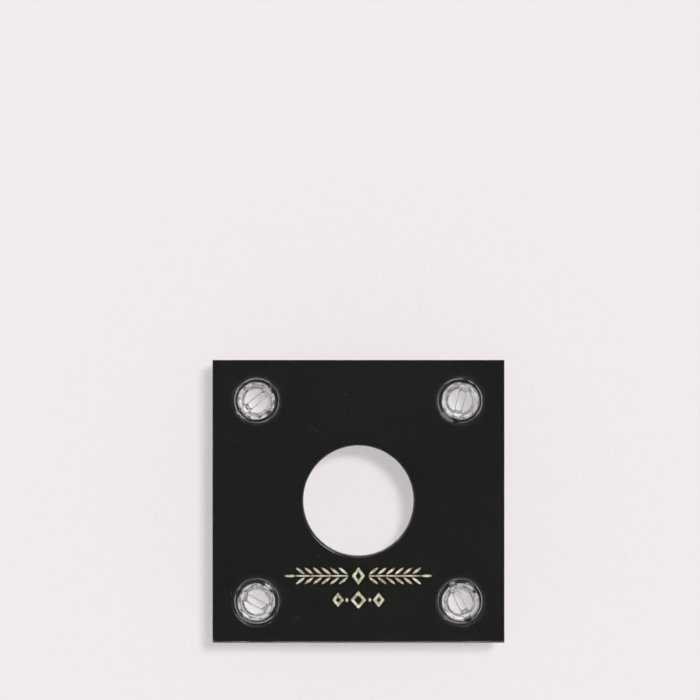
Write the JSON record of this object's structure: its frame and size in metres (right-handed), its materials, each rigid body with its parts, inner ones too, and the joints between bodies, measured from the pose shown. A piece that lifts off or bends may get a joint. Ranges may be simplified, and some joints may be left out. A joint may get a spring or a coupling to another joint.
{
  "type": "acrylic coin holder",
  "caption": "Square see-through display holder for a small coin: a black acrylic core with a round window, clamped between clear acrylic sheets by clear binding screws and posts.",
  "frame": {"origin": "on the plane that the four post heads stand on, below the middle of the sheets", "axes": "+Z out of the front face, +X across the face to the right, +Y up the face"},
  "size_m": [0.0508, 0.0492, 0.0129],
  "materials": {
    "black_acrylic": "polished black sheet with fine handling scratches",
    "clear_acrylic": "polished clear sheet with saw-cut edges",
    "clear_fastener": "clear moulded plastic"
  },
  "bodies": {
    "core": {"core_plate": "black_acrylic"},
    "front_cover": {"front_cover": "clear_acrylic"},
    "back_cover": {"back_cover": "clear_acrylic"},
    "screw_1": {"screw_1": "clear_fastener"},
    "screw_2": {"screw_2": "clear_fastener"},
    "screw_3": {"screw_3": "clear_fastener"},
    "screw_4": {"screw_4": "clear_fastener"},
    "post_1": {"post_1": "clear_fastener"},
    "post_2": {"post_2": "clear_fastener"},
    "post_3": {"post_3": "clear_fastener"},
    "post_4": {"post_4": "clear_fastener"}
  },
  "joints": [
    {"name": "core_lift", "type": "slide", "parent": "back_cover", "child": "core", "axis": [0, 0, 1], "range_m": [0, 0.025]},
    {"name": "front_cover_lift", "type": "slide", "parent": "core", "child": "front_cover", "axis": [0, 0, 1], "range_m": [0, 0.025]},
    {"name": "screw_1_rise", "type": "slide", "parent": "front_cover", "child": "screw_1", "axis": [0, 0, 1], "range_m": [0, 0.0056]},
    {"name": "screw_2_rise", "type": "slide", "parent": "front_cover", "child": "screw_2", "axis": [0, 0, 1], "range_m": [0, 0.0056]},
    {"name": "screw_3_rise", "type": "slide", "parent": "front_cover", "child": "screw_3", "axis": [0, 0, 1], "range_m": [0, 0.0056]},
    {"name": "screw_4_rise", "type": "slide", "parent": "front_cover", "child": "screw_4", "axis": [0, 0, 1], "range_m": [0, 0.0056]},
    {"name": "post_1_turn", "type": "hinge", "parent": "back_cover", "child": "post_1", "pos_m": [-0.01775, 0.0175, 0], "axis": [0, 0, -1], "range_deg": [0, 2520]},
    {"name": "post_2_turn", "type": "hinge", "parent": "back_cover", "child": "post_2", "pos_m": [0.01775, 0.0175, 0], "axis": [0, 0, -1], "range_deg": [0, 2520]},
    {"name": "post_3_turn", "type": "hinge", "parent": "back_cover", "child": "post_3", "pos_m": [0.01775, -0.0175, 0], "axis": [0, 0, -1], "range_deg": [0, 2520]},
    {"name": "post_4_turn", "type": "hinge", "parent": "back_cover", "child": "post_4", "pos_m": [-0.01775, -0.0175, 0], "axis": [0, 0, -1], "range_deg": [0, 2520]}
  ],
  "couplings": [
    {"joint": "post_1_turn", "follows": "screw_1_rise", "rad_per_m": 7853.9},
    {"joint": "post_2_turn", "follows": "screw_2_rise", "rad_per_m": 7853.9},
    {"joint": "post_3_turn", "follows": "screw_3_rise", "rad_per_m": 7853.9},
    {"joint": "post_4_turn", "follows": "screw_4_rise", "rad_per_m": 7853.9}
  ]
}
